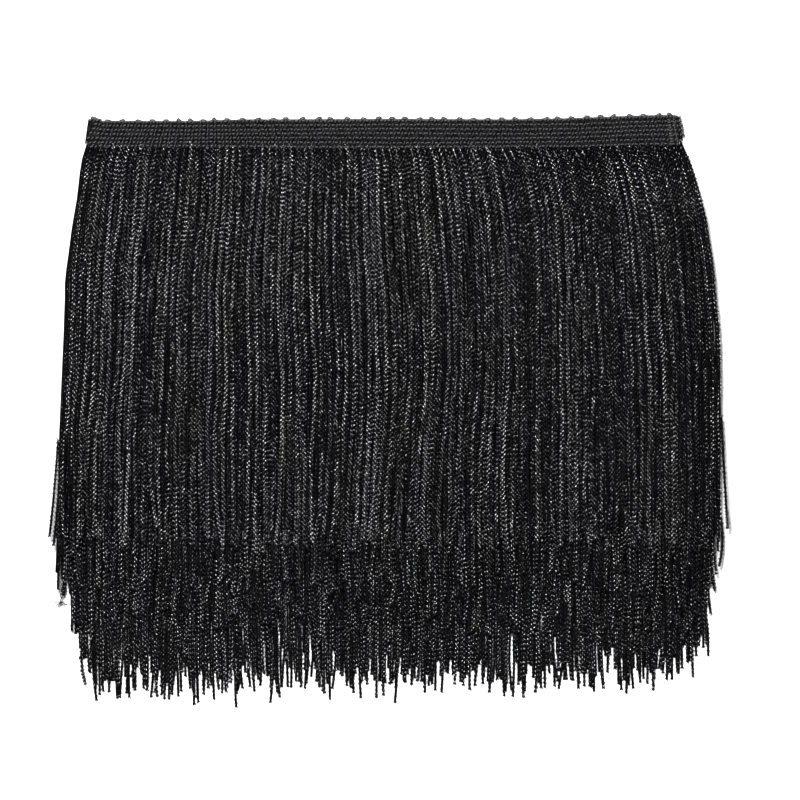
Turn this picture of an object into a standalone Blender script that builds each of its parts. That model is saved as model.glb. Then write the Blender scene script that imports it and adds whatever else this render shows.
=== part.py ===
"""Chainette fringe trim, folded back and forth in four shingled runs and lying flat.

Metres, +Z up. +X runs along the header to the right, +Y from the strand ends to the header.
The origin lies on the surface, under the middle of the top run's header tape.
"""

import math
import random
from typing import NamedTuple

import bmesh
import bpy

MM = 0.001

# Header tape, measured across from its middle line
TAPE_UPPER = 5.0 * MM
TAPE_LOWER = -3.2 * MM
TAPE_THICK = 1.8 * MM
SCALLOP_PITCH = 4.9 * MM
SCALLOP_RISE = 0.6 * MM
TAPE_STEP = 3.2 * MM

# Backing strip along the tape's lower edge, where the strands are rooted
BACKING_UPPER = -3.5 * MM
BACKING_LOWER = -5.0 * MM

# Strands
STRANDS = 72
STRAND_WIDE = 2.1 * MM
STRAND_THICK = 1.5 * MM
STRAND_LENGTH = 137.0 * MM
LENGTH_SPREAD = 2.6 * MM
LENGTH_LIMIT = 6.0 * MM
LEAN = 0.30 * MM
WAVE = 1.1 * MM
WAVE_LENGTH = 150.0 * MM
WAVE_DRIFT = 1.5  # waves that the phase moves on across one run
WAVE_OFFSET = 1.7  # radians between one run's waves and the next
SETTLE = 28.0 * MM
SEED = 41

# Layers
GAP = 0.3 * MM
LAYER = TAPE_THICK + GAP
STRAND_LAYER = STRAND_THICK + GAP

# Ends, folds and the places where a run lifts or slides along its length
CUT_LEFT = -102.4 * MM
FOLD_LEFT = -101.05 * MM
FOLD_RIGHT = 100.85 * MM
FOLD_STEPS = 6
BACKING_LEFT = -102.6 * MM
BACKING_RIGHT = 101.6 * MM
SLIDE_FROM = 97.0 * MM
SLIDE_TO = 60.0 * MM
LIFT_FROM = 35.0 * MM
LIFT_TO = 58.0 * MM
REACH = 3.2 * MM

# Heights down the fringe at which the strands bend
STATIONS = (-9.0 * MM, -24.0 * MM, -41.0 * MM, -80.0 * MM, -120.0 * MM)
SHORTEST_STEP = 2.0 * MM
PAST_ENDS = -250.0 * MM


class Run(NamedTuple):
    """One run of the trim from side to side."""

    name: str
    slide_side: int  # side where the tape slides from fold to run: 1 right, -1 left
    fold_y: float  # the tape's middle line at the fold on that side
    run_y: float  # and along the rest of the run
    lifted: tuple  # sides where it lies over the tape of the run below
    inset: float  # strand ends drawn in from the outline on each side


RUNS = (
    Run("fringe_top", 1, 1.0 * MM, 0.0, (-1, 1), 0.0),
    Run("fringe_second", 1, 1.0 * MM, -14.0 * MM, (-1,), 2.0 * MM),
    Run("fringe_third", -1, -14.0 * MM, -30.0 * MM, (1,), 5.0 * MM),
    Run("fringe_bottom", 1, -30.0 * MM, -47.0 * MM, (), 9.5 * MM),
)


class Edge(NamedTuple):
    """Side edges of the fanned strands at one height."""

    y: float
    left: float
    right: float


OUTLINE = (
    Edge(-5.0 * MM, -103.8 * MM, 104.1 * MM),
    Edge(-15.0 * MM, -105.5 * MM, 107.9 * MM),
    Edge(-30.0 * MM, -107.6 * MM, 111.7 * MM),
    Edge(-50.0 * MM, -110.0 * MM, 114.5 * MM),
    Edge(-92.0 * MM, -112.4 * MM, 116.9 * MM),
    Edge(-134.0 * MM, -114.8 * MM, 118.0 * MM),
)


class Finish(NamedTuple):
    """A yarn's colour and roughness."""

    name: str
    colour: tuple
    roughness: float


TAPE_YARN = Finish("header_yarn", (0.026, 0.025, 0.027, 1.0), 0.78)
STRAND_YARN = Finish("strand_yarn", (0.020, 0.019, 0.022, 1.0), 0.60)


def mix(start, end, share):
    return start + (end - start) * share


def eased(share):
    """0 to 1 with a soft start and end."""
    share = min(max(share, 0.0), 1.0)
    return share * share * (3.0 - 2.0 * share)


def middle_y(run, x):
    """The tape's middle line: it slides to the run's own place away from the fold."""
    slid = eased((SLIDE_FROM - run.slide_side * x) / (SLIDE_FROM - SLIDE_TO))
    return mix(run.fold_y, run.run_y, slid)


def lift(run, x):
    """Height of the run's underside: one layer up where a fold lies below it."""
    raised = [eased((side * x - LIFT_FROM) / (LIFT_TO - LIFT_FROM)) for side in run.lifted]
    return LAYER * max(raised, default=0.0)


def highest_lift(run, x):
    """The most that the run is lifted within a strand or so of x."""
    return max(lift(run, x - REACH), lift(run, x), lift(run, x + REACH))


def outline_at(y):
    """Left and right edge of the fanned strands at a height."""
    if y >= OUTLINE[0].y:
        return OUTLINE[0].left, OUTLINE[0].right
    for above, below in zip(OUTLINE, OUTLINE[1:]):
        if y >= below.y:
            share = (above.y - y) / (above.y - below.y)
            return mix(above.left, below.left, share), mix(above.right, below.right, share)
    return OUTLINE[-1].left, OUTLINE[-1].right


def strand_height(level, x, station):
    """Underside of a run's strands at a station, clear of every run below it."""
    upper = STATIONS[station - 1] if station else BACKING_LOWER
    lower = STATIONS[station + 1] if station + 1 < len(STATIONS) else PAST_ENDS
    height = 0.0
    for below in range(level + 1, len(RUNS)):
        run = RUNS[below]
        middle = middle_y(run, x)
        if middle + BACKING_LOWER < upper and middle + TAPE_UPPER > lower:
            height = max(height, highest_lift(run, x) + LAYER)
        if STATIONS[station] < middle + BACKING_LOWER:
            height = max(height, strand_height(below, x, station) + STRAND_LAYER)
    return height


def new_object(name, bm, finish, collection):
    """Close a bmesh, point its faces out and make it an object of one yarn."""
    open_edges = [edge for edge in bm.edges if edge.is_boundary]
    bmesh.ops.holes_fill(bm, edges=open_edges)
    bmesh.ops.recalc_face_normals(bm, faces=bm.faces)
    mesh = bpy.data.meshes.new(name)
    bm.to_mesh(mesh)
    bm.free()
    mesh.materials.append(yarn_material(finish))
    piece = bpy.data.objects.new(name, mesh)
    collection.objects.link(piece)
    return piece


def yarn_material(finish):
    """One shared material for each yarn."""
    material = bpy.data.materials.get(finish.name)
    if material:
        return material
    material = bpy.data.materials.new(finish.name)
    material.use_nodes = True
    shader = material.node_tree.nodes["Principled BSDF"]
    shader.inputs["Base Color"].default_value = finish.colour
    shader.inputs["Roughness"].default_value = finish.roughness
    shader.inputs["Metallic"].default_value = 0.0
    return material


def start_section(bm, ring):
    """The first four-cornered end face of a sweep."""
    return bm.faces.new([bm.verts.new(corner) for corner in ring])


def sweep(bm, face, rings):
    """Extrude an end face from ring to ring."""
    for ring in rings:
        face = bmesh.ops.extrude_discrete_faces(bm, faces=[face])["faces"][0]
        for corner, place in zip(face.verts, ring):
            corner.co = place
    return face


def tape_ring(x, y, z, turn, upper):
    """Four corners across the tape; turn is how far its flat has turned over, in radians."""
    out_x = 0.5 * TAPE_THICK * math.sin(turn)
    out_z = 0.5 * TAPE_THICK * math.cos(turn)
    return (
        (x + out_x, y + upper, z + out_z),
        (x + out_x, y + TAPE_LOWER, z + out_z),
        (x - out_x, y + TAPE_LOWER, z - out_z),
        (x - out_x, y + upper, z - out_z),
    )


def run_rings(level):
    """Rings of the tape along one run, from the end it starts at to its fold."""
    run = RUNS[level]
    rightwards = level % 2 == 0
    left = CUT_LEFT if level in (0, len(RUNS) - 1) else FOLD_LEFT
    start, end = (left, FOLD_RIGHT) if rightwards else (FOLD_RIGHT, left)
    step = SCALLOP_PITCH / 2 if level == 0 else TAPE_STEP
    count = round(abs(end - start) / step)
    rings = []
    for i in range(count + 1):
        x = mix(start, end, i / count)
        scallop = SCALLOP_RISE if level == 0 and i % 2 else 0.0
        turn = 0.0 if rightwards else math.pi
        height = lift(run, x) + TAPE_THICK / 2
        rings.append(tape_ring(x, middle_y(run, x), height, turn, TAPE_UPPER + scallop))
    return rings


def fold_rings(level):
    """Rings of the half turn that takes the tape from one run down to the next."""
    side = RUNS[level + 1].slide_side
    fold_x = FOLD_RIGHT if side > 0 else FOLD_LEFT
    radius = LAYER / 2
    middle_z = (LAYER + TAPE_THICK) / 2
    y = RUNS[level + 1].fold_y
    rings = []
    for i in range(1, FOLD_STEPS):
        share = i / FOLD_STEPS
        turn = math.pi * (share if side > 0 else 1.0 - share)
        x = fold_x + side * radius * math.sin(turn)
        z = middle_z + side * radius * math.cos(turn)
        rings.append(tape_ring(x, y, z, turn, TAPE_UPPER))
    return rings


def build_header_tape(collection):
    """The whole header as one folded band, from its top left end to its hidden end."""
    rings = []
    for level in range(len(RUNS)):
        rings += run_rings(level)
        if level + 1 < len(RUNS):
            rings += fold_rings(level)
    bm = bmesh.new()
    sweep(bm, start_section(bm, rings[0]), rings[1:])
    new_object("header_tape", bm, TAPE_YARN, collection)


def backing_ring(run, x):
    """Four corners across the backing strip."""
    y = middle_y(run, x)
    z = lift(run, x)
    return (
        (x, y + BACKING_UPPER, z),
        (x, y + BACKING_UPPER, z + STRAND_THICK),
        (x, y + BACKING_LOWER, z + STRAND_THICK),
        (x, y + BACKING_LOWER, z),
    )


def root_x(index):
    """Where a strand leaves the backing."""
    return mix(BACKING_LEFT, BACKING_RIGHT, (index + 0.5) / STRANDS)


def strand_x(level, index, y, root_y, lean):
    """A strand's middle at a height: fanned to the outline, with a slow shared wave."""
    run = RUNS[level]
    share = (index + 0.5) / STRANDS
    left, right = outline_at(y)
    margin = run.inset + STRAND_WIDE / 2
    fanned = mix(left + margin, right - margin, share)
    down = root_y - y
    phase = 2 * math.pi * (down / WAVE_LENGTH + WAVE_DRIFT * share) + WAVE_OFFSET * level
    wave = WAVE * math.sin(phase) * math.sin(math.pi * share)
    settled = eased(down / SETTLE)
    return mix(root_x(index), fanned + wave, settled) + lean * down / STRAND_LENGTH


def place_end(face, x, y, z):
    """Put a strand's end face at a place, square to +Y and level."""
    middle = face.calc_center_median()
    for corner in face.verts:
        side = 0.5 if corner.co.x > middle.x else -0.5
        above = STRAND_THICK if corner.co.z > middle.z else 0.0
        corner.co = (x + side * STRAND_WIDE, y, z + above)


def root_faces(bm, run):
    """The backing's front faces that carry strands, from left to right."""
    front = []
    for face in bm.faces:
        middle = face.calc_center_median()
        if abs(middle.y - middle_y(run, middle.x) - BACKING_LOWER) < GAP:
            front.append(face)
    front.sort(key=lambda face: face.calc_center_median().x)
    return front[1::2]


def build_fringe(level, collection):
    """One run's strands, fused at their roots into the strip below the tape."""
    run = RUNS[level]
    chance = random.Random(SEED + level)
    bm = bmesh.new()
    edges = [BACKING_LEFT]
    for index in range(STRANDS):
        edges += [root_x(index) - STRAND_WIDE / 2, root_x(index) + STRAND_WIDE / 2]
    edges.append(BACKING_RIGHT)
    rings = [backing_ring(run, x) for x in edges]
    sweep(bm, start_section(bm, rings[0]), rings[1:])

    faces = root_faces(bm, run)
    roots = [middle_y(run, root_x(index)) + BACKING_LOWER for index in range(STRANDS)]
    leans = [chance.uniform(-LEAN, LEAN) for _ in range(STRANDS)]
    heights = [0.0] * STRANDS
    for station, y in enumerate(STATIONS):
        moving = [index for index in range(STRANDS) if roots[index] - y > SHORTEST_STEP]
        if not moving:
            continue
        made = bmesh.ops.extrude_discrete_faces(bm, faces=[faces[index] for index in moving])
        ends = sorted(made["faces"], key=lambda face: face.calc_center_median().x)
        for index, face in zip(moving, ends):
            x = strand_x(level, index, y, roots[index], leans[index])
            heights[index] = strand_height(level, x, station)
            place_end(face, x, y, heights[index])
            faces[index] = face

    made = bmesh.ops.extrude_discrete_faces(bm, faces=faces)
    ends = sorted(made["faces"], key=lambda face: face.calc_center_median().x)
    for index, face in enumerate(ends):
        ragged = chance.gauss(0.0, LENGTH_SPREAD)
        length = STRAND_LENGTH + min(max(ragged, -LENGTH_LIMIT), LENGTH_LIMIT)
        y = run.run_y + BACKING_LOWER - length  # level with the rest where the tape slides up
        x = strand_x(level, index, y, roots[index], leans[index])
        place_end(face, x, y, heights[index])
    new_object(run.name, bm, STRAND_YARN, collection)


def main():
    for old in list(bpy.data.objects):
        bpy.data.objects.remove(old, do_unlink=True)
    collection = bpy.data.collections.new("tassel_fringe_trim")
    bpy.context.scene.collection.children.link(collection)
    build_header_tape(collection)
    for level in range(len(RUNS)):
        build_fringe(level, collection)


main()
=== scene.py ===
"""Looks of the folded chainette fringe trim: chain-stitched cords on a crocheted header tape.

Metres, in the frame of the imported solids: +X along the header, +Y towards it, +Z up.
"""

import math
from typing import NamedTuple

import bmesh
import bpy
import numpy as np
from mathutils import Matrix, Vector


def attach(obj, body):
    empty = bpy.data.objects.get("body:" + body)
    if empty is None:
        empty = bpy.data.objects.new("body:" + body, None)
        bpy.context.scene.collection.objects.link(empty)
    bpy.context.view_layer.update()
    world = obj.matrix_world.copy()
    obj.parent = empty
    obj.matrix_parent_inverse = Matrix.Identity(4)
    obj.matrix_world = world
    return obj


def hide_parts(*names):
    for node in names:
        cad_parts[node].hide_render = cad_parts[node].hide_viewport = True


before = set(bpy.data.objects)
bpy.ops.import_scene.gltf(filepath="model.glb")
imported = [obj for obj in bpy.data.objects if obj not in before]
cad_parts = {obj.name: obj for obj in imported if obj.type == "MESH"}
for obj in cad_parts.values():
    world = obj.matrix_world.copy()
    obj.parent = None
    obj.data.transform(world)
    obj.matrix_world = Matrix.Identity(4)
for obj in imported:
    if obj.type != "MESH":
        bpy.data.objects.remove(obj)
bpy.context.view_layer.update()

MM = 0.001

# Header tape and the strip that the cords are rooted in, as in the solids
TAPE_UPPER = 5.0 * MM
TAPE_LOWER = -3.2 * MM
TAPE_THICK = 1.8 * MM
BACKING_LOWER = -5.0 * MM
BACKING_LEFT = -102.6 * MM
BACKING_RIGHT = 101.6 * MM
CORD_THICK = 1.5 * MM
CORD_LENGTH = 137.0 * MM
GAP = 0.3 * MM
LAYER = TAPE_THICK + GAP
CORD_LAYER = CORD_THICK + GAP
CUT_LEFT = -102.4 * MM
FOLD_LEFT = -101.05 * MM
FOLD_RIGHT = 100.85 * MM
FOLD_STEPS = 8
SLIDE_FROM = 97.0 * MM
SLIDE_TO = 60.0 * MM
LIFT_FROM = 35.0 * MM
LIFT_TO = 58.0 * MM
REACH = 3.2 * MM
SETTLE = 6.0 * MM
LOOSE_FROM = 28.0 * MM
STATIONS = (-9.0 * MM, -24.0 * MM, -41.0 * MM, -80.0 * MM, -120.0 * MM)
PAST_ENDS = -250.0 * MM

# Chain-stitched cords, two to each stitch of the header, one of them lying lower
CORDS = 168
STITCH = 1.53 * MM
CORD_HALF = 0.5 * MM
LOWER_CORD = 0.4 * MM
EXTRA_BELOW = 0.5 * MM
# Painted light and shade by depth: extra and lower-lying cords are darker, upper cords lighter, and lighter
# still in the lower runs
EXTRA_PAINTED_SHADE = -0.12
LOWER_PAINTED_SHADE = -0.12
UPPER_PAINTED_LIGHT = 0.1
TIER_PAINTED_LIGHT = 0.16
# Painted shade near the cords' roots, where they come out from under the header or from under the run above
ROOT_PAINTED_SHADE = 0.14
ROOT_SHADE = 6.0 * MM
LEG_OUT = 0.30 * MM
LEG_LEAN = math.radians(35.0)
LEG_HALF = (0.21 * MM, 0.34 * MM, 0.74 * MM)
PAIR_IN = 0.1 * MM
LEGS_APART = 0.12
LEGS_IN_LINE = 0.29
CORE = 0.44 * MM
FILLER = 0.62 * MM
FILLER_BELOW = 0.45 * MM
END_ZONE = 16.0 * MM
DRIFT_ZONE = 22.0 * MM
SHORT_SIDE = 1.25
ROOT_FLARE = 1.0 * MM
END_SLIMMER = 0.95
FLATTENED = 0.85
PLY_RISE = 0.45
PLY_TAPER = 0.3
EDGE_CORDS = 5
FLOOR_CLEAR = 0.02 * MM

# Crocheted header
WALE = 2.45 * MM
STITCH_ROWS = (4.4 * MM, 2.95 * MM, 1.45 * MM, -0.05 * MM, -1.6 * MM, -3.1 * MM, -4.55 * MM)
END_SLANT = 0.2
CUT_SLANT = 0.14
SLANT_FROM = 93.0 * MM
SLANT_LOWEST = -8.0 * MM
ROW_WAVE = 0.12 * MM

# How the cords wander, and how uneven their tones are
FIRST_STITCH = 3.7 * MM
LONGER_MOST = 8 * MM
SHORTER_MOST = 14 * MM
SHARED_SWAY = 1.1 * MM
SHARED_WAVE = 0.150
WILD_CHANCE = 0.14
WILD_SWING = 2.4
TAME_SWING = 0.8
DRIFT = 0.3 * MM
FAR_DRIFT_CHANCE = 0.06
FAR_DRIFT = 5.0
LEAN_SPREAD = 0.12
FIBRE_TAPER = 0.85
MIDDLE_TONE = 0.46
CORD_UNEVEN = 0.17
LEG_UNEVEN = 0.26


class Run(NamedTuple):
    """One run of the trim from side to side."""

    node: str
    slide_side: int
    fold_y: float
    run_y: float
    lifted: tuple
    inset_left: float
    inset_right: float
    shorter: float  # cord length taken off
    ragged: float  # spread of the cord lengths
    swing: float  # how far the cords' ends stray sideways
    shown_below: float  # its cords show below this height
    extra: int  # more cords that show at its end only


RUNS = (
    Run("fringe_top", 1, 1.0 * MM, 0.0, (-1, 1), 0.0, 0.0, 0.0, 2.0 * MM, 0.6 * MM, 0.01, 0),
    Run(
        "fringe_second", 1, 1.0 * MM, -14.0 * MM, (-1,), 0.4 * MM, 2.0 * MM,
        0.5 * MM, 3.0 * MM, 0.8 * MM, -131.0 * MM, 42,
    ),
    Run(
        "fringe_third", -1, -14.0 * MM, -30.0 * MM, (1,), 3.6 * MM, 4.1 * MM,
        3.5 * MM, 3.4 * MM, 0.9 * MM, -142.0 * MM, 126,
    ),
    Run(
        "fringe_bottom", 1, -30.0 * MM, -47.0 * MM, (), 5.4 * MM, 4.8 * MM,
        0.2 * MM, 3.5 * MM, 0.6 * MM, -152.0 * MM, 252,
    ),
)


class Lustre(NamedTuple):
    """How much the legs up to one tone shine."""

    name: str
    up_to: float
    shine: float
    ior: float


LUSTRES = (
    Lustre("dull", 0.3, 0.15, 1.5),
    Lustre("plain", 0.57, 0.6, 1.5),
    Lustre("bright", 1.01, 1.0, 1.63),
)


class Edge(NamedTuple):
    """Side edges of the fanned cords at one height."""

    y: float
    left: float
    right: float


OUTLINE = (
    Edge(-5.0 * MM, -103.8 * MM, 104.1 * MM),
    Edge(-9.0 * MM, -104.5 * MM, 105.9 * MM),
    Edge(-15.0 * MM, -105.5 * MM, 107.9 * MM),
    Edge(-30.0 * MM, -107.6 * MM, 111.7 * MM),
    Edge(-50.0 * MM, -110.0 * MM, 114.5 * MM),
    Edge(-82.0 * MM, -111.0 * MM, 116.6 * MM),
    Edge(-102.0 * MM, -112.6 * MM, 116.8 * MM),
    Edge(-134.0 * MM, -113.3 * MM, 116.6 * MM),
)


class Reach(NamedTuple):
    """How much longer the lowest run's cords reach at one place along it."""

    x: float
    longer: float


REACHES = (
    Reach(-102.0 * MM, -18.0 * MM),
    Reach(-99.0 * MM, -9.0 * MM),
    Reach(-96.0 * MM, 0.2 * MM),
    Reach(-56.0 * MM, 1.0 * MM),
    Reach(-27.0 * MM, 0.0),
    Reach(31.0 * MM, -2.0 * MM),
    Reach(76.0 * MM, -3.0 * MM),
    Reach(90.0 * MM, -5.0 * MM),
    Reach(101.0 * MM, -13.0 * MM),
)


class Stray(NamedTuple):
    """A cord whose end stands away from a side edge: start, bow and tip, seen from above."""

    level: int
    start: tuple
    bow: tuple
    tip: tuple
    unravelled: bool


STRAYS = (
    Stray(0, (-112.6 * MM, -106.0 * MM), (-113.9 * MM, -122.5 * MM), (-115.5 * MM, -138.2 * MM), False),
    Stray(0, (-112.0 * MM, -116.0 * MM), (-112.8 * MM, -128.7 * MM), (-114.1 * MM, -141.4 * MM), False),
    Stray(1, (-111.6 * MM, -122.0 * MM), (-112.3 * MM, -130.3 * MM), (-113.2 * MM, -138.6 * MM), False),
    Stray(2, (-110.6 * MM, -146.0 * MM), (-111.6 * MM, -154.0 * MM), (-111.8 * MM, -161.8 * MM), True),
    Stray(2, (-109.9 * MM, -146.0 * MM), (-110.3 * MM, -154.0 * MM), (-110.7 * MM, -158.6 * MM), False),
    Stray(3, (-104.4 * MM, -170.0 * MM), (-104.9 * MM, -181.7 * MM), (-103.7 * MM, -189.4 * MM), False),
    Stray(0, (115.9 * MM, -98.0 * MM), (117.3 * MM, -123.1 * MM), (118.1 * MM, -135.4 * MM), False),
    Stray(1, (114.0 * MM, -124.0 * MM), (116.3 * MM, -137.2 * MM), (115.5 * MM, -148.3 * MM), False),
    Stray(2, (112.6 * MM, -146.0 * MM), (113.2 * MM, -153.0 * MM), (113.7 * MM, -157.0 * MM), False),
)


class Parting(NamedTuple):
    """A lens-shaped gap where two neighbouring cords bow apart."""

    x: float
    y: float
    half_height: float
    push: float


PARTINGS = (
    Parting(-82.2 * MM, -42.0 * MM, 6.0 * MM, 0.8 * MM),
    Parting(-43.5 * MM, -98.0 * MM, 9.0 * MM, 0.35 * MM),
    Parting(31.0 * MM, -70.0 * MM, 8.0 * MM, 0.35 * MM),
)


def mix(start, end, share):
    return start + (end - start) * share


def eased(share):
    """0 to 1 with a soft start and end."""
    share = np.clip(share, 0.0, 1.0)
    return share * share * (3.0 - 2.0 * share)


def middle_y(run, x):
    """The tape's middle line: it slides to the run's own place away from the fold."""
    slid = eased((SLIDE_FROM - run.slide_side * x) / (SLIDE_FROM - SLIDE_TO))
    return mix(run.fold_y, run.run_y, slid)


def lift(run, x):
    """Height of the run's underside: one layer up where a fold lies below it."""
    raised = [eased((side * x - LIFT_FROM) / (LIFT_TO - LIFT_FROM)) for side in run.lifted]
    return LAYER * max(raised, default=0.0)


def highest_lift(run, x):
    return max(lift(run, x - REACH), lift(run, x), lift(run, x + REACH))


def cord_height(level, x, station):
    """Underside of a run's cords at a station, clear of every run below it."""
    upper = STATIONS[station - 1] if station else BACKING_LOWER
    lower = STATIONS[station + 1] if station + 1 < len(STATIONS) else PAST_ENDS
    height = 0.0
    for below in range(level + 1, len(RUNS)):
        run = RUNS[below]
        middle = middle_y(run, x)
        if middle + BACKING_LOWER < upper and middle + TAPE_UPPER > lower:
            height = max(height, highest_lift(run, x) + LAYER)
        if STATIONS[station] < middle + BACKING_LOWER:
            height = max(height, cord_height(below, x, station) + CORD_LAYER)
    return height


def heights_along(level, x, root_y, y):
    """Middle height of a cord along its length, with its bends rounded."""
    places, heights = [PAST_ENDS], [cord_height(level, x, len(STATIONS) - 1)]
    for station in reversed(range(len(STATIONS))):
        if root_y + BACKING_LOWER - STATIONS[station] > 0:
            places.append(STATIONS[station])
            heights.append(cord_height(level, x, station))
    places.append(root_y + BACKING_LOWER + 0.5 * MM)
    heights.append(lift(RUNS[level], x))
    around = [np.interp(y + shift, places, heights) for shift in (-2.5 * MM, 0.0, 2.5 * MM)]
    return np.maximum(np.mean(around, axis=0), around[1]) + CORD_THICK / 2


def cord_points(level, index, count, chance):
    """The middle of each stitch of one cord, from its root to its tip."""
    run = RUNS[level]
    share = (index + 0.5) / count
    root_x = mix(BACKING_LEFT, BACKING_RIGHT, share) + ROOT_FLARE * share**12
    root_x += PAIR_IN if index % 2 == 0 else -PAIR_IN
    root_y = middle_y(run, root_x)
    tip_y = run.run_y + BACKING_LOWER - CORD_LENGTH + run.shorter
    longer = chance.normal()
    change = longer * run.ragged * (1.0 if longer > 0 else SHORT_SIDE)
    tip_y -= np.clip(change, -SHORTER_MOST, LONGER_MOST)
    if level == len(RUNS) - 1:
        tip_y -= np.interp(root_x, [reach.x for reach in REACHES], [reach.longer for reach in REACHES])
    top_y = root_y - (FIRST_STITCH + chance.uniform(0.0, STITCH))
    length = top_y - tip_y
    y = np.arange(top_y, tip_y, -STITCH * chance.uniform(0.96, 1.05))
    down = top_y - y
    rows = OUTLINE[::-1]
    left = np.interp(y, [row.y for row in rows], [row.left for row in rows]) + run.inset_left + CORD_HALF
    right = np.interp(y, [row.y for row in rows], [row.right for row in rows]) - run.inset_right - CORD_HALF
    fanned = mix(left, right, share)
    inner = math.sin(math.pi * share)
    loose = eased(down / LOOSE_FROM)
    wave = np.sin(2 * math.pi * (down / SHARED_WAVE + 1.5 * share) + 1.7 * level)
    shared = SHARED_SWAY * wave * inner
    own = np.zeros_like(down)
    for reach, wave in ((0.10, 21.0), (0.16, 45.0), (0.24, 95.0)):
        phase = chance.uniform(0, 2 * math.pi)
        own += reach * MM * np.sin(2 * math.pi * down / (wave * MM) + phase)
    end = np.clip((down - (length - END_ZONE)) / END_ZONE, 0, 1)
    wild = WILD_SWING if chance.random() < WILD_CHANCE else TAME_SWING
    own += chance.normal(0.0, run.swing * wild) * end**1.6
    drift = np.clip((down - (length - DRIFT_ZONE)) / DRIFT_ZONE, 0, 1)
    strayed = FAR_DRIFT if chance.random() < FAR_DRIFT_CHANCE else 1.0
    own += chance.normal(0.0, DRIFT * strayed) * drift**1.5 * (0.3 + 0.7 * inner)
    fan = 1.0 - (1.0 - np.clip(down / SETTLE, 0, 1)) ** 2
    x = mix(root_x, fanned, fan) + (shared + own) * loose
    if level == 0:
        for gap in PARTINGS:
            side = np.sign(x - gap.x)
            near = np.exp(-np.abs(x - gap.x) / (4 * MM))
            x = x + side * gap.push * near * np.exp(-(((y - gap.y) / gap.half_height) ** 2))
    x = np.clip(x, left - 0.4 * MM, right + 0.4 * MM)
    z = heights_along(level, root_x + 0.5 * (np.median(x) - root_x), root_y, y)
    turn = chance.uniform(0, 2 * math.pi)
    over = (1.0 if index % 2 else -1.0) * 0.8 + 0.5 * np.sin(2 * math.pi * down / (70 * MM) + turn)
    sunk = 0.0 if count == CORDS else EXTRA_BELOW
    z = np.maximum(z + over * LOWER_CORD / 2 - sunk, 0.5 * MM)
    return np.stack([x, y, z], axis=1)


def stray_points(stray):
    """The middle of each stitch of a cord end that stands away from the edge."""
    start, bow, tip = np.array(stray.start), np.array(stray.bow), np.array(stray.tip)
    length = np.linalg.norm(bow - start) + np.linalg.norm(tip - bow)
    share = np.linspace(0.0, 1.0, int(length / STITCH) + 1)[:, None]
    bend = 2.0 * bow - (start + tip) / 2.0
    flat = (1 - share) ** 2 * start + 2 * share * (1 - share) * bend + share**2 * tip
    run = RUNS[stray.level]
    root_x = math.copysign(BACKING_RIGHT - 2 * MM, stray.tip[0])
    z = heights_along(stray.level, root_x, middle_y(run, root_x), flat[:, 1])
    return np.column_stack([flat, z])


def frames_along(points, roll):
    """Along, side and up at each point of a line, rolled about the line."""
    along = np.gradient(points, axis=0)
    along /= np.linalg.norm(along, axis=1, keepdims=True)
    side = np.cross(along, [0.0, 0.0, 1.0])
    side /= np.linalg.norm(side, axis=1, keepdims=True)
    up = np.cross(side, along)
    turn, rise = np.cos(roll)[:, None], np.sin(roll)[:, None]
    return along, side * turn + up * rise, up * turn - side * rise


def chain_legs(points, roll, turned, scale, chance):
    """Two slanted legs for each stitch: their middles and axes.

    Where turned is 0 they make a V, and towards -1 or 1 one stroke after another, as on a rope.
    """
    along, side, up = frames_along(points, roll)
    places, axes = [], []
    for hand in (-1.0, 1.0):
        size = chance.uniform(0.85, 1.15, (len(points), 1)) * scale
        out = chance.uniform(0.85, 1.15, (len(points), 1)) * LEG_OUT * scale
        lean = LEG_LEAN * (hand * (1 - np.abs(turned)) + turned)
        slant = (lean + chance.normal(0, LEAN_SPREAD, len(points)))[:, None]
        lengthwise = along * np.cos(slant) - side * np.sin(slant)
        across = -side * np.cos(slant) - along * np.sin(slant)
        step = hand * STITCH * (LEGS_APART * (1 - np.abs(turned)) - LEGS_IN_LINE * turned)
        offset = side * hand * out + along * step[:, None]
        offset[:, 2] *= FLATTENED
        places.append(points + offset)
        axes.append(np.stack([across * size, up * FLATTENED, lengthwise * size], axis=2))
    return np.concatenate(places), np.concatenate(axes)


class Form(NamedTuple):
    """A small closed form that is repeated: its corners, faces and corners a face."""

    corners: np.ndarray
    normals: np.ndarray
    loops: np.ndarray
    counts: np.ndarray


def form_of(bm, normals=None):
    """The form that a bmesh holds, with its own normals unless others are given."""
    bm.verts.ensure_lookup_table()
    bm.normal_update()
    corners = np.array([vert.co[:] for vert in bm.verts])
    if normals is None:
        normals = [vert.normal[:] for vert in bm.verts]
    loops = np.array([vert.index for face in bm.faces for vert in face.verts])
    counts = np.array([len(face.verts) for face in bm.faces])
    bm.free()
    return Form(corners, np.array(normals), loops, counts)


def leg_form(sides, half, rings=3):
    """A yarn leg: a lobe of few sides drawn out along +Z, fuller at its upper end.

    Its normals are those of a rounder, straighter ply, so that its shine runs along it.
    """
    bm = bmesh.new()
    bmesh.ops.create_uvsphere(bm, u_segments=sides, v_segments=rings, radius=1.0)
    normals = []
    for vert in bm.verts:
        if abs(vert.co.z) > 0.9:
            normal = Vector((0.0, PLY_RISE if rings > 2 else 2.0 * PLY_RISE, vert.co.z))
        else:
            raised = vert.co.y + PLY_RISE * (1.0 - abs(vert.co.y))
            normal = Vector((vert.co.x, raised, PLY_TAPER * vert.co.z))
        normals.append(normal.normalized()[:])
        fuller = 1.12 - 0.2 * vert.co.z
        if rings == 3 and abs(vert.co.z) < 0.9:
            vert.co.z *= 1.2
            fuller *= 1.08
        vert.co = Vector((vert.co.x * fuller * half[0], vert.co.y * fuller * half[1], vert.co.z * half[2]))
    bmesh.ops.recalc_face_normals(bm, faces=bm.faces)
    return form_of(bm, normals)


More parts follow.
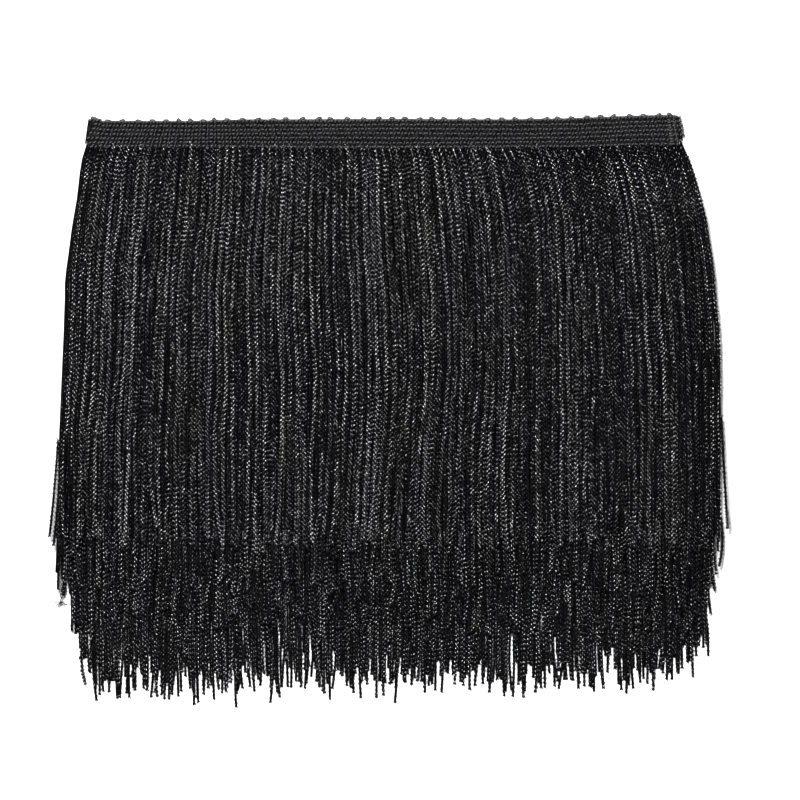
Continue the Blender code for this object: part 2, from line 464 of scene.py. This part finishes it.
def fibre_form(length, radius):
    """One loose fibre of a frayed end, pointing along +Z from its root."""
    bm = bmesh.new()
    tip = radius * FIBRE_TAPER
    bmesh.ops.create_cone(bm, cap_ends=True, segments=3, radius1=radius, radius2=tip, depth=length)
    bmesh.ops.translate(bm, vec=Vector((0, 0, length / 2)), verts=bm.verts)
    bmesh.ops.recalc_face_normals(bm, faces=bm.faces)
    return form_of(bm)


def joined(name, batches, material):
    """One mesh of many copies of small forms; each batch is form, places, axes, tones."""
    corners, normals, loops, counts, tones, threads = [], [], [], [], [], []
    total = 0
    for form, places, axes, tone in batches:
        copies = len(places)
        size = len(form.corners)
        moved = np.einsum("nij,kj->nki", axes, form.corners) + places[:, None, :]
        moved[:, :, 2] = np.maximum(moved[:, :, 2], FLOOR_CLEAR)
        corners.append(moved.reshape(-1, 3))
        normals.append(np.einsum("nij,kj->nki", axes, form.normals).reshape(-1, 3))
        shifts = np.arange(copies)[:, None] * size + total
        loops.append((form.loops[None, :] + shifts).ravel())
        counts.append(np.tile(form.counts, copies))
        tones.append(np.repeat(tone, size))
        thread = np.tile(form.corners / MM, (copies, 1))
        thread[:, 2] += np.repeat(tone * 7.0, size)
        threads.append(thread)
        total += copies * size
    corners, loops, counts = np.concatenate(corners), np.concatenate(loops), np.concatenate(counts)
    mesh = bpy.data.meshes.new(name)
    mesh.vertices.add(len(corners))
    mesh.vertices.foreach_set("co", corners.astype(np.float32).ravel())
    mesh.loops.add(len(loops))
    mesh.loops.foreach_set("vertex_index", loops.astype(np.int32))
    mesh.polygons.add(len(counts))
    starts = np.concatenate([[0], np.cumsum(counts)[:-1]])
    mesh.polygons.foreach_set("loop_start", starts.astype(np.int32))
    mesh.polygons.foreach_set("use_smooth", np.ones(len(counts), bool))
    mesh.update(calc_edges=True)
    normals = np.concatenate(normals)
    normals /= np.linalg.norm(normals, axis=1, keepdims=True)
    mesh.normals_split_custom_set_from_vertices(normals.astype(np.float32))
    tone_layer = mesh.attributes.new("tone", "FLOAT", "POINT")
    tone_layer.data.foreach_set("value", np.concatenate(tones).astype(np.float32))
    thread_layer = mesh.attributes.new("thread", "FLOAT_VECTOR", "POINT")
    thread_layer.data.foreach_set("vector", np.concatenate(threads).astype(np.float32).ravel())
    mesh.materials.append(material)
    piece = bpy.data.objects.new(name, mesh)
    bpy.context.scene.collection.objects.link(piece)
    return piece


def shaded_material(name, shade, shine):
    """Dull yarn darkened with painted shade, for what lies under other stitches, mottled at the size of a
    stitch.
    """
    material = bpy.data.materials.new(name)
    material.use_nodes = True
    nodes, links = material.node_tree.nodes, material.node_tree.links
    shader = nodes["Principled BSDF"]
    shader.inputs["Roughness"].default_value = 0.8
    shader.inputs["Specular IOR Level"].default_value = shine
    place = nodes.new("ShaderNodeTexCoord")
    drawn_out = nodes.new("ShaderNodeMapping")
    drawn_out.inputs["Scale"].default_value = (1.0, 0.45, 1.0)
    links.new(place.outputs["Object"], drawn_out.inputs["Vector"])
    stitches = nodes.new("ShaderNodeTexNoise")
    stitches.inputs["Scale"].default_value = 1500.0
    stitches.inputs["Detail"].default_value = 1.0
    links.new(drawn_out.outputs["Vector"], stitches.inputs["Vector"])
    mottle = nodes.new("ShaderNodeValToRGB")
    mottle.color_ramp.elements[0].position = 0.42
    mottle.color_ramp.elements[0].color = (shade * 0.3, shade * 0.3, shade * 0.36, 1.0)
    mottle.color_ramp.elements[1].position = 0.62
    mottle.color_ramp.elements[1].color = (shade * 1.8, shade * 1.75, shade * 2.1, 1.0)
    links.new(stitches.outputs["Fac"], mottle.inputs["Fac"])
    links.new(mottle.outputs["Color"], shader.inputs["Base Color"])
    return material


class Yarn(NamedTuple):
    """Colours of a yarn from its darkest legs to its lightest, and its surface."""

    dark: tuple
    light: tuple
    olive_tint: tuple
    roughness: float
    fibre_bump: float


CORD_YARN = Yarn((0.0005, 0.0004, 0.0010), (0.0054, 0.0045, 0.0115), (1.15, 1.2, 0.22), 0.27, 0.2)
TAPE_YARN = Yarn((0.003, 0.003, 0.0032), (0.018, 0.0172, 0.0205), (1.0, 1.03, 0.66), 0.45, 0.2)
TAPE_SHINE = 0.42


def yarn_material(name, yarn, shine, ior=1.5):
    """Twisted yarn: fine fibres along each leg, and a tone that varies from cord to cord and carries
    painted light and shade.
    """
    dark, light, olive_tint, roughness, fibre_bump = yarn
    material = bpy.data.materials.new(name)
    material.use_nodes = True
    nodes, links = material.node_tree.nodes, material.node_tree.links
    shader = nodes["Principled BSDF"]
    shader.inputs["Roughness"].default_value = roughness
    shader.inputs["Specular IOR Level"].default_value = shine
    shader.inputs["IOR"].default_value = ior

    tone = nodes.new("ShaderNodeAttribute")
    tone.attribute_name = "tone"
    place = nodes.new("ShaderNodeTexCoord")
    patches = nodes.new("ShaderNodeTexNoise")
    patches.inputs["Scale"].default_value = 55.0
    patches.inputs["Detail"].default_value = 2.0
    drawn_out = nodes.new("ShaderNodeMapping")
    drawn_out.inputs["Scale"].default_value = (3.2, 0.45, 1.0)
    links.new(place.outputs["Object"], drawn_out.inputs["Vector"])
    links.new(drawn_out.outputs["Vector"], patches.inputs["Vector"])
    olive = nodes.new("ShaderNodeValToRGB")
    olive.color_ramp.elements[0].position = 0.40
    olive.color_ramp.elements[0].color = (*light, 1.0)
    olive.color_ramp.elements[1].position = 0.62
    olive.color_ramp.elements[1].color = (*(part * tint for part, tint in zip(light, olive_tint)), 1.0)
    links.new(patches.outputs["Fac"], olive.inputs["Fac"])
    blend = nodes.new("ShaderNodeMix")
    blend.data_type = "RGBA"
    blend.inputs["A"].default_value = (*dark, 1.0)
    links.new(tone.outputs["Fac"], blend.inputs["Factor"])
    links.new(olive.outputs["Color"], blend.inputs["B"])
    links.new(blend.outputs["Result"], shader.inputs["Base Color"])

    thread = nodes.new("ShaderNodeAttribute")
    thread.attribute_name = "thread"
    stretch = nodes.new("ShaderNodeMapping")
    stretch.inputs["Scale"].default_value = (9.0, 9.0, 0.9)
    links.new(thread.outputs["Vector"], stretch.inputs["Vector"])
    fibres = nodes.new("ShaderNodeTexNoise")
    fibres.inputs["Scale"].default_value = 1.0
    fibres.inputs["Detail"].default_value = 2.0
    links.new(stretch.outputs["Vector"], fibres.inputs["Vector"])
    bump = nodes.new("ShaderNodeBump")
    bump.inputs["Strength"].default_value = fibre_bump
    bump.inputs["Distance"].default_value = 0.00012
    links.new(fibres.outputs["Fac"], bump.inputs["Height"])
    links.new(bump.outputs["Normal"], shader.inputs["Normal"])
    return material


def make_plain_cords(name, lines, radius, material):
    """Plain square-sided cords, for cores and for what others hide."""
    curve = bpy.data.curves.new(name, "CURVE")
    curve.dimensions = "3D"
    curve.bevel_depth = radius
    curve.bevel_resolution = 0
    curve.use_fill_caps = True
    for line in lines:
        steps = np.r_[0 : min(len(line), 36) : 3, np.linspace(0, len(line) - 1, 5).astype(int)]
        picked = line[np.unique(steps)]
        spline = curve.splines.new("POLY")
        spline.points.add(len(picked) - 1)
        spline.points.foreach_set("co", np.c_[picked, np.ones(len(picked))].ravel())
    holder = bpy.data.objects.new(name + "_line", curve)
    bpy.context.scene.collection.objects.link(holder)
    bpy.context.view_layer.update()
    mesh = bpy.data.meshes.new_from_object(holder.evaluated_get(bpy.context.evaluated_depsgraph_get()))
    bpy.data.objects.remove(holder)
    bpy.data.curves.remove(curve)
    for vert in mesh.vertices:
        vert.co.z = max(vert.co.z, FLOOR_CLEAR)
    mesh.name = name
    mesh.materials.clear()
    mesh.materials.append(material)
    mesh.shade_smooth()
    piece = bpy.data.objects.new(name, mesh)
    bpy.context.scene.collection.objects.link(piece)
    return piece


def finish_piece(piece, slot, *nodes):
    """Ride on the trim and stand for its solids."""
    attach(piece, "root")
    if nodes:
        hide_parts(*nodes)


def frayed_end(points, roll, chance):
    """Loose fibres at a cord's tip: their places and axes."""
    along, side, up = frames_along(points[-4:], roll[-4:])
    tip = points[-1] + along[-1] * STITCH * 0.3
    places, axes = [], []
    for strand in (-1.0, -0.4, 0.3, 0.9):
        sideways = 0.22 * strand + chance.normal(0, 0.1)
        spread = along[-1] + side[-1] * sideways + up[-1] * chance.normal(0, 0.06)
        spread /= np.linalg.norm(spread)
        across = np.cross(spread, up[-1])
        across /= np.linalg.norm(across)
        start = tip + side[-1] * strand * 0.28 * MM - spread * 0.6 * MM
        start[2] = max(start[2], 0.3 * MM)
        if start[2] + spread[2] * 2 * MM < 0.25 * MM:
            spread[2] = 0.0
        places.append(start)
        lengthwise = spread * chance.uniform(0.75, 1.15)
        axes.append(np.stack([across, np.cross(spread, across), lengthwise], axis=1))
    return np.array(places), np.array(axes)


def stitched_cord(points, painted_light_and_shade, scale, chance):
    """One cord's legs and its cut end, each as places, axes and tones."""
    down = np.arange(len(points)) * STITCH
    wave = chance.uniform(50, 150) * MM
    roll = chance.normal(0, 0.12) + 0.2 * np.sin(2 * math.pi * down / wave + chance.uniform(0, 6.3))
    twist = 1.5 * np.sin(2 * math.pi * down / wave + chance.uniform(0, 6.3)) + chance.normal(0, 0.4)
    turned = np.sign(twist) * eased((np.abs(twist) - 0.5) / 0.2)
    # Painted shade near the root, where the cord comes out from under the header or the run above; the
    # legs' tones also vary less there
    near_root = np.tile(np.exp(-down / ROOT_SHADE), 2)
    uneven = LEG_UNEVEN * (1.0 - 0.5 * near_root)
    tone = MIDDLE_TONE + chance.normal(0, CORD_UNEVEN) + uneven * chance.normal(size=2 * len(points))
    # Adds the cord's painted light or painted shade by depth, less the painted shade near the root
    tone = np.clip(tone + painted_light_and_shade - ROOT_PAINTED_SHADE * near_root, 0, 1)
    places, axes = chain_legs(points, roll, turned, scale, chance)
    end_places, end_axes = frayed_end(points, roll, chance)
    return (places, axes, tone), (end_places, end_axes, np.full(len(end_places), tone[-1]))


def unravelled_end(points, chance):
    """A chain that has come undone: open loops of one ply down to a tuft of fibres."""
    along, side, up = frames_along(points, np.zeros(len(points)))
    loops = []
    for number in range(len(points) - 6, len(points)):
        for hand in (-1, 1):
            way = along[number] + side[number] * hand * 0.9
            way /= np.linalg.norm(way)
            place = points[number] - side[number] * hand * 0.12 * MM + along[number] * hand * 0.3 * MM
            loops.append((place, np.stack([np.cross(up[number], way), up[number], way], axis=1), 0.5))
    tuft = []
    for turn in (-82, -70, -58, 40, 62, 78):
        angle = math.radians(turn + chance.normal(0, 4))
        way = along[-1] * math.cos(angle) + side[-1] * math.sin(angle)
        tuft.append((points[-1], np.stack([np.cross(up[-1], way), up[-1], way], axis=1), 0.6))
    loop_form = leg_form(4, (0.2 * MM, 0.2 * MM, 0.7 * MM))
    return batch(loop_form, loops), batch(fibre_form(2.3 * MM, 0.2 * MM), tuft)


def make_legs(name, legs, materials):
    """One piece for each lustre, each holding the legs of its tones."""
    lowest = -1.0
    for lustre, material in zip(LUSTRES, materials):
        picked = []
        for form, places, axes, tone in legs:
            keep = (tone > lowest) & (tone <= lustre.up_to)
            picked.append((form, places[keep], axes[keep], tone[keep]))
        yield joined(f"{name}_{lustre.name}", picked, material)
        lowest = lustre.up_to


def make_cords(materials, shaded):
    """Every run's cords, with full stitches wherever they show and plain ones beneath."""
    upper_leg, lower_leg = leg_form(4, LEG_HALF), leg_form(4, LEG_HALF, 2)
    fibre = fibre_form(1.3 * MM, 0.23 * MM)
    ends, cores = [], []
    for level, run in enumerate(RUNS):
        chance = np.random.default_rng(700 + level)
        shown, plain = [], []
        scale = END_SLIMMER if level else 1.0
        for index in range(CORDS + run.extra):
            extra = index >= CORDS
            number, count = (index - CORDS, run.extra) if extra else (index, CORDS)
            points = cord_points(level, number, count, chance)
            if not extra:
                plain.append(points[:-3] - [WALE / 4, 0.0, FILLER_BELOW])
            points = points[int(np.argmax(points[:, 1] < run.shown_below)) :]
            lower = extra or index % 2 == 0
            # Painted shade on the lower-lying and extra cords, painted light on the upper ones
            upper_painted_light = UPPER_PAINTED_LIGHT + (TIER_PAINTED_LIGHT if level else 0.0)
            painted_light_and_shade = EXTRA_PAINTED_SHADE if extra else LOWER_PAINTED_SHADE if lower else upper_painted_light
            legs, end = stitched_cord(points, painted_light_and_shade, scale, chance)
            shown.append((lower_leg if lower else upper_leg, *legs))
            ends.append((fibre, *end))
            if level or min(index, CORDS - 1 - index) < EDGE_CORDS:
                cores.append(points)
        name = run.node.replace("fringe_", "") + "_cords"
        size = math.ceil(len(shown) / (2 if level == 0 else 1))
        for part, begin in enumerate(range(0, len(shown), size)):
            for piece in make_legs(f"{name}_{part + 1}", shown[begin : begin + size], materials):
                finish_piece(piece, "strand_yarn", run.node)
        finish_piece(make_plain_cords(name + "_inner", plain, FILLER, shaded), "strand_yarn")
    chance = np.random.default_rng(55)
    strays = []
    for stray in STRAYS:
        points = stray_points(stray)
        if stray.unravelled:
            strays += unravelled_end(points, chance)
            points = points[:-6]
        legs, end = stitched_cord(points, UPPER_PAINTED_LIGHT, 1.0, chance)
        strays.append((upper_leg, *legs))
        cores.append(points)
        if not stray.unravelled:
            ends.append((fibre, *end))
    finish_piece(joined("stray_cords", strays, materials[1]), "strand_yarn")
    finish_piece(make_plain_cords("cord_cores", cores, CORE, shaded), "strand_yarn")
    finish_piece(joined("cut_ends", ends, materials[0]), "strand_yarn")


class Corner(NamedTuple):
    """A corner of the tape's rounded section: in from an edge, out from its middle."""

    edge: int  # 1 upper, -1 lower
    inwards: float
    outwards: float


SECTION = (
    Corner(1, 1.2 * MM, 0.5 * MM),
    Corner(-1, 0.9 * MM, 0.5 * MM),
    Corner(-1, 0.3 * MM, 0.35 * MM),
    Corner(-1, 0.0, 0.0),
    Corner(-1, 0.3 * MM, -0.35 * MM),
    Corner(-1, 0.9 * MM, -0.6 * MM),
    Corner(1, 1.2 * MM, -0.6 * MM),
    Corner(1, 0.4 * MM, -0.35 * MM),
    Corner(1, 0.0, 0.0),
    Corner(1, 0.4 * MM, 0.35 * MM),
)


class Height(NamedTuple):
    """How far the top run's upper edge stands above its even height at one place."""

    x: float
    up: float


EDGE_HEIGHTS = (
    Height(-102.4 * MM, -0.2 * MM),
    Height(-101.4 * MM, 0.15 * MM),
    Height(-99.8 * MM, 0.15 * MM),
    Height(-98.0 * MM, -0.7 * MM),
    Height(-68.0 * MM, -0.8 * MM),
    Height(-46.0 * MM, -0.1 * MM),
    Height(5.0 * MM, 0.1 * MM),
    Height(45.0 * MM, -0.1 * MM),
    Height(70.0 * MM, 0.3 * MM),
    Height(100.0 * MM, 0.3 * MM),
)


def edge_height(x):
    return float(np.interp(x, [place.x for place in EDGE_HEIGHTS], [place.up for place in EDGE_HEIGHTS]))


def tape_ring(x, y, z, turn, raised=0.0):
    """The section at one place; turn is how far its flat has turned over."""
    ring = []
    for corner in SECTION:
        edge = TAPE_UPPER + raised if corner.edge > 0 else TAPE_LOWER
        out_x = corner.outwards * math.sin(turn)
        out_z = corner.outwards * math.cos(turn)
        ring.append((x + out_x, y + edge - corner.edge * corner.inwards, z + out_z))
    return ring


def run_rings(level):
    """Rings of the tape along one run, from the end it starts at to its fold."""
    run = RUNS[level]
    rightwards = level % 2 == 0
    left = CUT_LEFT if level in (0, len(RUNS) - 1) else FOLD_LEFT
    start, end = (left, FOLD_RIGHT) if rightwards else (FOLD_RIGHT, left)
    turn = 0.0 if rightwards else math.pi
    places = [mix(start, end, i / 90) for i in range(91)]
    rings = []
    for x in places:
        raised = 0.0 if level else edge_height(x)
        rings.append(tape_ring(x, middle_y(run, x), lift(run, x) + TAPE_THICK / 2, turn, raised))
    return rings


def fold_rings(level):
    """Rings of the half turn that takes the tape from one run down to the next."""
    side = RUNS[level + 1].slide_side
    fold_x = FOLD_RIGHT if side > 0 else FOLD_LEFT
    rings = []
    for i in range(1, FOLD_STEPS):
        share = i / FOLD_STEPS
        turn = math.pi * (share if side > 0 else 1.0 - share)
        x = fold_x + side * LAYER / 2 * math.sin(turn)
        z = (LAYER + TAPE_THICK) / 2 + side * LAYER / 2 * math.cos(turn)
        raised = 0.0 if level else edge_height(fold_x) * (1.0 - share)
        rings.append(tape_ring(x, RUNS[level + 1].fold_y, z, turn, raised))
    return rings


def swept(name, rings, material):
    """A closed form swept from ring to ring."""
    bm = bmesh.new()
    face = bm.faces.new([bm.verts.new(corner) for corner in rings[0]])
    for ring in rings[1:]:
        face = bmesh.ops.extrude_discrete_faces(bm, faces=[face])["faces"][0]
        for vert, place in zip(face.verts, ring):
            vert.co = place
    bmesh.ops.holes_fill(bm, edges=[edge for edge in bm.edges if edge.is_boundary])
    bmesh.ops.recalc_face_normals(bm, faces=bm.faces)
    mesh = bpy.data.meshes.new(name)
    bm.to_mesh(mesh)
    bm.free()
    mesh.materials.append(material)
    mesh.shade_smooth()
    mesh.set_sharp_from_angle(angle=math.radians(60))
    piece = bpy.data.objects.new(name, mesh)
    bpy.context.scene.collection.objects.link(piece)
    return piece


def make_header_band(material):
    """The tape's body as one folded band, a little thinner than the stitches on it."""
    rings = []
    for level in range(len(RUNS)):
        rings += run_rings(level)
        if level + 1 < len(RUNS):
            rings += fold_rings(level)
    return swept("header_band", rings, material)


def make_root_strip(level, material):
    """The strip below the tape where a run's cords are crocheted in."""
    run = RUNS[level]
    rings = []
    for i in range(61):
        x = mix(BACKING_LEFT, BACKING_RIGHT, i / 60)
        y, z = middle_y(run, x), lift(run, x)
        rings.append(
            [
                (x, y + TAPE_LOWER, z + 0.1 * MM),
                (x, y + TAPE_LOWER, z + 1.4 * MM),
                (x, y + BACKING_LOWER, z + 1.3 * MM),
                (x, y + BACKING_LOWER, z + 0.1 * MM),
            ]
        )
    return swept(run.node.replace("fringe_", "") + "_root_strip", rings, material)


def tape_place(down_tape):
    """A point on the tape's middle surface, with its way along and its way out.

    Measured from the top run's left end, along that run and round its fold.
    """
    straight = FOLD_RIGHT - CUT_LEFT
    radius = LAYER / 2
    if down_tape < straight:
        x = CUT_LEFT + down_tape
        run = RUNS[0]
        z = lift(run, x) + TAPE_THICK / 2
        step = 0.5 * MM
        rise = lift(run, x + step) - lift(run, x)
        along = np.array([step, middle_y(run, x + step) - middle_y(run, x), rise])
        along /= np.linalg.norm(along)
        out = np.array([-along[2], 0.0, along[0]])
        return np.array([x, middle_y(run, x), z]), along, out
    turn = min((down_tape - straight) / (radius + TAPE_THICK / 2), math.pi)
    out = np.array([math.sin(turn), 0.0, math.cos(turn)])
    middle = np.array([FOLD_RIGHT, RUNS[0].fold_y, (LAYER + TAPE_THICK) / 2])
    return middle + out * radius, np.array([math.cos(turn), 0.0, -math.sin(turn)]), out


def tape_axes(along, across, out, turn):
    """Axes of a leg lying on the tape, turned from the way along it."""
    way = along * math.cos(turn) + across * math.sin(turn)
    return np.stack([np.cross(out, way), out, way], axis=1)


def batch(form, legs):
    """Legs listed as place, axes and tone, ready to be joined."""
    places, axes, tones = (np.array(column) for column in zip(*legs))
    return form, places, axes, tones


def lean_end(piece):
    """Slant the tape's ends outwards towards the cords, as its fold and its cut lie."""
    for vert in piece.data.vertices:
        if vert.co.y > SLANT_LOWEST:
            leaning = float(eased((vert.co.x - SLANT_FROM) / (FOLD_RIGHT - SLANT_FROM)))
            vert.co.x += END_SLANT * leaning * (RUNS[0].fold_y - vert.co.y)
            leaning = float(eased((-SLANT_FROM - vert.co.x) / (-SLANT_FROM - CUT_LEFT)))
            vert.co.x -= CUT_SLANT * leaning * (TAPE_UPPER - vert.co.y)
    return piece


def make_header_stitches(material):
    """Rows of lying stitches with slanted ones between, carried round the tape's fold."""
    chance = np.random.default_rng(911)
    face = TAPE_THICK / 2
    straight = FOLD_RIGHT - CUT_LEFT
    length = straight + math.pi * (LAYER / 2 + face)
    lying, slanted = [], []
    for number, row_y in enumerate(STITCH_ROWS):
        for column in range(-2, int(length / WALE) + 3):
            share = eased((column * WALE - 6 * MM) / (60 * MM))
            shift = mix(-0.55 * MM, 0.34 * MM, share) * number
            at = column * WALE + shift + 0.8 * MM + chance.normal(0, 0.1 * MM)
            if not 0.45 * MM < at < (length - 0.2 * MM if row_y > TAPE_LOWER + 1.5 * MM else straight):
                continue
            middle, along, out = tape_place(at)
            across = np.cross(out, along)
            raised = edge_height(CUT_LEFT + at) * (row_y - TAPE_LOWER) / (TAPE_UPPER - TAPE_LOWER)
            proud = face - (0.3 * MM if row_y < TAPE_LOWER else 0.1 * MM)
            wave = ROW_WAVE * math.sin(at / (19 * MM) + number)
            wobble = row_y + raised + wave + chance.normal(0, 0.05 * MM)
            place = middle + across * wobble + out * (proud + chance.normal(0, 0.04 * MM))
            tone = float(np.clip(0.55 + chance.normal(0, 0.25), 0, 1))
            turn = math.radians(mix(28, 3, share) + chance.normal(0, 7))
            lying.append((place, tape_axes(along, across, out, turn), tone))
            place = place + along * 0.5 * WALE - across * 0.1 * MM - out * 0.08 * MM
            turn = math.radians(mix(62, 55, share) + chance.normal(0, 9))
            # The slanted stitches lie deeper and get painted shade: their tone is darkened
            slanted.append((place, tape_axes(along, across, out, turn), tone * 0.7))
    lying_form = leg_form(6, (0.33 * MM, 0.42 * MM, 0.62 * MM))
    slanted_form = leg_form(5, (0.23 * MM, 0.36 * MM, 0.72 * MM))
    return joined("header_stitches", [batch(lying_form, lying), batch(slanted_form, slanted)], material)


def make_edge_loops(material):
    """The picots along the tape's upper edge and the thread that runs through them."""
    chance = np.random.default_rng(404)
    length = FOLD_RIGHT - CUT_LEFT
    knots, threads = [], []
    at = 1.8 * MM
    while at < length - 1.0 * MM:
        middle, along, out = tape_place(at)
        across = np.cross(out, along)
        tone = float(np.clip(0.45 + chance.normal(0, 0.15), 0, 1))
        tilt = math.radians(chance.normal(0, 16))
        upper = TAPE_UPPER + edge_height(CUT_LEFT + at)
        rise = upper + chance.uniform(-0.15, 0.2) * MM
        knots.append((middle + across * rise, tape_axes(along, across, out, tilt), tone))
        for hand in (-1, 1):
            place = middle + along * hand * 1.5 * MM + across * (upper - 0.3 * MM)
            if 1.5 * MM < at + hand * 1.5 * MM < length:
                threads.append((place, tape_axes(along, across, out, math.radians(-hand * 12)), tone))
        threads.append((middle + across * (upper - 0.95 * MM), tape_axes(along, across, out, 0.5), tone))
        at += 2 * WALE * chance.uniform(0.8, 1.2)
    knot_form = leg_form(6, (0.68 * MM, 0.58 * MM, 1.15 * MM))
    thread_form = leg_form(5, (0.34 * MM, 0.42 * MM, 1.6 * MM))
    return joined("header_edge_loops", [batch(knot_form, knots), batch(thread_form, threads)], material)


def make_fold_stitching(material):
    """The ladder of short stitches and the upright thread beside the tape's fold."""
    chance = np.random.default_rng(77)
    bars, uprights = [], []
    out = np.array([0.0, 0.0, 1.0])
    along, across = np.array([1.0, 0.0, 0.0]), np.array([0.0, 1.0, 0.0])
    top = lift(RUNS[0], FOLD_RIGHT) + TAPE_THICK
    for number in range(10):
        y = RUNS[0].fold_y + 3.6 * MM - number * 0.93 * MM
        tone = float(np.clip(0.8 + chance.normal(0, 0.12), 0, 1))
        turn = math.radians(chance.normal(6, 8))
        bars.append((np.array([98.5 * MM, y, top + 0.02 * MM]), tape_axes(along, across, out, turn), tone))
        upright = np.array([100.2 * MM + chance.normal(0, 0.08 * MM), y, top + 0.04 * MM])
        lean = math.radians(-84 + chance.normal(0, 9))
        uprights.append((upright, tape_axes(along, across, out, lean), tone * chance.uniform(0.4, 1.0)))
    bar_form = leg_form(5, (0.26 * MM, 0.30 * MM, 0.80 * MM))
    upright_form = leg_form(5, (0.22 * MM, 0.28 * MM, 0.50 * MM))
    return joined("fold_stitching", [batch(bar_form, bars), batch(upright_form, uprights)], material)


# Photo framing: 2.9 photo pixels a millimetre, image middle at FRAME_X, FRAME_Y
PIXELS_PER_MM = 2.9
FRAME_PIXELS = 800
FRAME_X = 5.2 * MM
FRAME_Y = -92.1 * MM
CAMERA_HEIGHT = 1.9
SENSOR = 36.0


def make_camera():
    data = bpy.data.cameras.new("camera")
    data.sensor_width = SENSOR
    across = FRAME_PIXELS / PIXELS_PER_MM * MM
    data.lens = SENSOR * (CAMERA_HEIGHT - 5 * MM) / across
    camera = bpy.data.objects.new("camera", data)
    camera.location = (FRAME_X, FRAME_Y, CAMERA_HEIGHT)
    bpy.context.scene.collection.objects.link(camera)
    bpy.context.scene.camera = camera


def make_floor():
    bm = bmesh.new()
    bmesh.ops.create_grid(bm, x_segments=1, y_segments=1, size=3.0)
    mesh = bpy.data.meshes.new("floor")
    bm.to_mesh(mesh)
    bm.free()
    material = bpy.data.materials.new("pale_floor")
    material.use_nodes = True
    shader = material.node_tree.nodes["Principled BSDF"]
    shader.inputs["Base Color"].default_value = (0.88, 0.88, 0.88, 1.0)
    shader.inputs["Roughness"].default_value = 0.9
    mesh.materials.append(material)
    floor = bpy.data.objects.new("floor", mesh)
    bpy.context.scene.collection.objects.link(floor)


def soft_light(name, place, aim, size, power):
    data = bpy.data.lights.new(name, "AREA")
    data.shape = "SQUARE"
    data.size = size
    data.energy = power
    light = bpy.data.objects.new(name, data)
    light.location = place
    light.rotation_euler = (Vector(aim) - Vector(place)).to_track_quat("-Z", "Y").to_euler()
    bpy.context.scene.collection.objects.link(light)


def make_light():
    aim = (0.0, -0.09, 0.0)
    soft_light("key", (-0.2, 0.4, 1.5), aim, 0.35, 56.0)
    soft_light("fill", (0.7, -0.2, 1.3), aim, 0.45, 4.0)
    world = bpy.data.worlds.new("studio")
    world.use_nodes = True
    world.node_tree.nodes["Background"].inputs["Color"].default_value = (1.0, 1.0, 1.0, 1.0)
    world.node_tree.nodes["Background"].inputs["Strength"].default_value = 0.03
    bpy.context.scene.world = world
    bpy.context.scene.view_settings.view_transform = "Standard"


def main():
    make_camera()
    make_floor()
    make_light()
    cord_yarns = []
    for lustre in LUSTRES:
        name = f"{lustre.name}_strand_yarn"
        cord_yarns.append(yarn_material(name, CORD_YARN, lustre.shine, lustre.ior))
    tape_yarn = yarn_material("header_yarn_look", TAPE_YARN, TAPE_SHINE)
    # The yarn beneath the cords' stitches, their fillers and cores, is darkened with painted shade
    make_cords(cord_yarns, shaded_material("shaded_yarn", 0.0016, 0.02))
    # The header's dark ground, seen between its stitches and on the root strips, is darkened further with
    # painted shade
    tape_ground = shaded_material("header_ground", 0.005, 0.04)
    band = make_header_band(tape_ground)
    finish_piece(lean_end(band), "header_yarn", "header_tape")
    finish_piece(lean_end(make_header_stitches(tape_yarn)), "header_yarn")
    finish_piece(lean_end(make_edge_loops(tape_yarn)), "header_yarn")
    finish_piece(lean_end(make_fold_stitching(tape_yarn)), "header_yarn")
    for level in range(len(RUNS)):
        finish_piece(make_root_strip(level, tape_ground), "header_yarn")


main()
